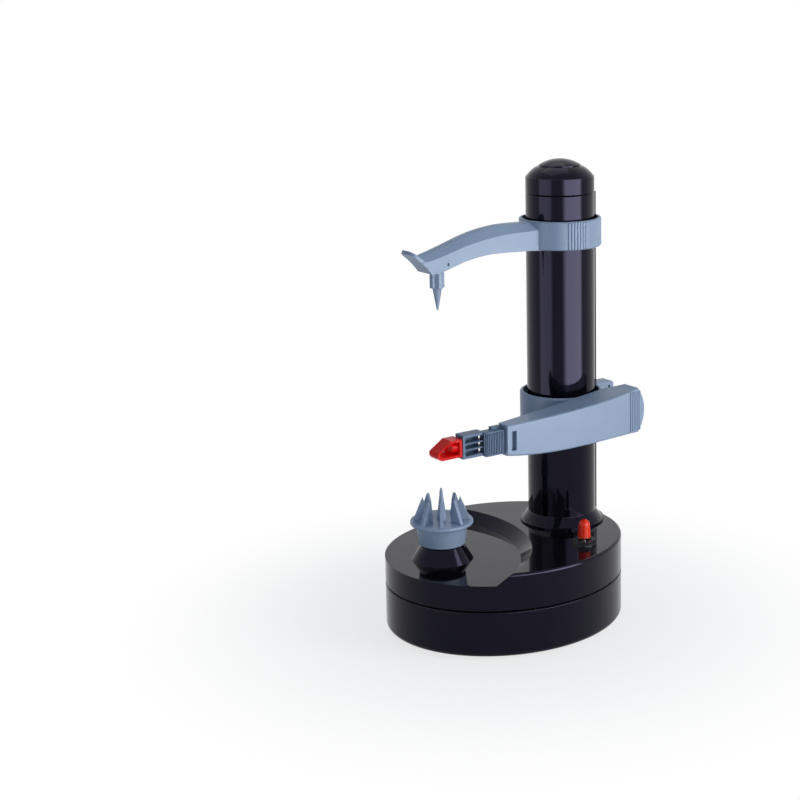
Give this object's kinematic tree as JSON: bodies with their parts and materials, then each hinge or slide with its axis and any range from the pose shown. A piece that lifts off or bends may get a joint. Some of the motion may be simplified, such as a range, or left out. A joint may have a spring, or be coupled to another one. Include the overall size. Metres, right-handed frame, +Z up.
{
  "type": "electric fruit peeler",
  "caption": "Free-standing motor-driven fruit and vegetable peeler: spiked turning holder, column with a lead screw, sprung blade lever, sliding top spike and toggle switch.",
  "frame": {"origin": "on the worktop, midway between the food holder's axis and the column's axis", "axes": "+X from the food holder to the column, -Y towards the user and the lever, +Z up"},
  "size_m": [0.167, 0.1378, 0.2901],
  "materials": {
    "gloss_black_abs": "glossy moulded ABS, black",
    "blue_grey_abs": "satin moulded ABS, blue grey",
    "dark_grey_abs": "satin moulded ABS, dark grey",
    "red_abs": "moulded ABS, red",
    "red_vinyl": "dipped soft vinyl, red",
    "black_hardware": "black switch and socket mouldings",
    "steel": "bright steel",
    "zinc_steel": "zinc-plated steel",
    "brass": "turned brass",
    "white_nylon": "moulded natural nylon",
    "black_rubber": "moulded rubber",
    "black_pvc": "black wire insulation",
    "red_pvc": "red wire insulation"
  },
  "bodies": {
    "frame": {"base_lower_shell": "gloss_black_abs", "base_upper_shell": "gloss_black_abs", "rubber_feet": "black_rubber", "case_screws": "zinc_steel", "column": "gloss_black_abs", "column_screws": "zinc_steel", "column_cap": "gloss_black_abs", "cap_plug": "gloss_black_abs", "gear_plate": "zinc_steel", "plate_screws": "zinc_steel", "motor_can": "steel", "motor_end_cap": "dark_grey_abs", "motor_screws": "zinc_steel", "gear_axles": "steel", "spindle_bush": "brass", "screw_bush": "brass", "pedestal_bush": "brass", "top_bearing": "white_nylon", "switch_body": "black_hardware", "switch_bushing": "black_hardware", "switch_washer": "black_hardware", "switch_nut": "black_hardware", "power_inlet": "black_hardware", "inlet_wire": "red_pvc", "return_wire": "black_pvc", "motor_wire": "red_pvc"},
    "food_holder": {"food_holder": "blue_grey_abs", "spindle_shaft": "steel", "spindle_gear": "white_nylon", "spindle_clip": "steel"},
    "lead_screw": {"lead_screw": "steel", "screw_gear": "white_nylon", "screw_clip": "steel"},
    "drive_gear": {"drive_gear": "white_nylon"},
    "reduction_gear": {"reduction_gear": "white_nylon"},
    "motor_rotor": {"motor_shaft": "steel", "motor_pinion": "brass"},
    "carriage": {"carriage_collar": "blue_grey_abs", "drive_nut": "white_nylon", "hinge_pin": "steel", "lever_spring": "steel"},
    "peeling_arm": {"peeling_arm": "blue_grey_abs", "blade_cartridge": "dark_grey_abs", "swivel_pin": "steel"},
    "blade_head": {"blade_head": "red_abs", "blade": "steel"},
    "upper_arm": {"upper_arm": "blue_grey_abs", "spike_pin": "steel"},
    "food_spike": {"food_spike": "blue_grey_abs"},
    "toggle": {"switch_lever": "steel", "switch_cap": "red_vinyl"}
  },
  "joints": [
    {"name": "carriage_slide", "type": "slide", "parent": "frame", "child": "carriage", "axis": [0, 0, 1], "range_m": [-0.034, 0.062]},
    {"name": "food_holder_spin", "type": "hinge", "parent": "frame", "child": "food_holder", "pos_m": [-0.047, 0, 0.06], "axis": [0, 0, 1], "continuous": true},
    {"name": "lead_screw_spin", "type": "hinge", "parent": "frame", "child": "lead_screw", "pos_m": [0.047, 0, 0.1], "axis": [0, 0, 1], "continuous": true},
    {"name": "drive_gear_spin", "type": "hinge", "parent": "frame", "child": "drive_gear", "pos_m": [0, 0, 0.041], "axis": [0, 0, 1], "continuous": true},
    {"name": "reduction_gear_spin", "type": "hinge", "parent": "frame", "child": "reduction_gear", "pos_m": [0, -0.031, 0.039], "axis": [0, 0, 1], "continuous": true},
    {"name": "motor_spin", "type": "hinge", "parent": "frame", "child": "motor_rotor", "pos_m": [-0.01273, -0.04373, 0.036], "axis": [0, 0, 1], "continuous": true},
    {"name": "lever_swing", "type": "hinge", "parent": "carriage", "child": "peeling_arm", "pos_m": [0.05, -0.036, 0.13], "axis": [0, 0, 1], "range_deg": [-6, 14], "stiffness_Nm_per_rad": 0.4, "deforming": ["lever_spring"]},
    {"name": "blade_swivel", "type": "hinge", "parent": "peeling_arm", "child": "blade_head", "pos_m": [-0.061, -0.037, 0.1288], "axis": [1, 0, 0], "range_deg": [-20, 20]},
    {"name": "upper_arm_slide", "type": "slide", "parent": "frame", "child": "upper_arm", "axis": [0, 0, 1], "range_m": [-0.03, 0.014]},
    {"name": "food_spike_spin", "type": "hinge", "parent": "upper_arm", "child": "food_spike", "pos_m": [-0.047, 0, 0.22], "axis": [0, 0, 1], "continuous": true},
    {"name": "toggle_tilt", "type": "hinge", "parent": "frame", "child": "toggle", "pos_m": [0.027, -0.049, 0.052], "axis": [0, 1, 0], "range_deg": [-10, 10]}
  ],
  "couplings": [
    {"joint": "food_holder_spin", "follows": "carriage_slide", "rad_per_m": 785.4},
    {"joint": "lead_screw_spin", "follows": "carriage_slide", "rad_per_m": 785.4},
    {"joint": "drive_gear_spin", "follows": "carriage_slide", "rad_per_m": -691.15},
    {"joint": "reduction_gear_spin", "follows": "carriage_slide", "rad_per_m": 2879.8},
    {"joint": "motor_spin", "follows": "carriage_slide", "rad_per_m": -14399}
  ]
}
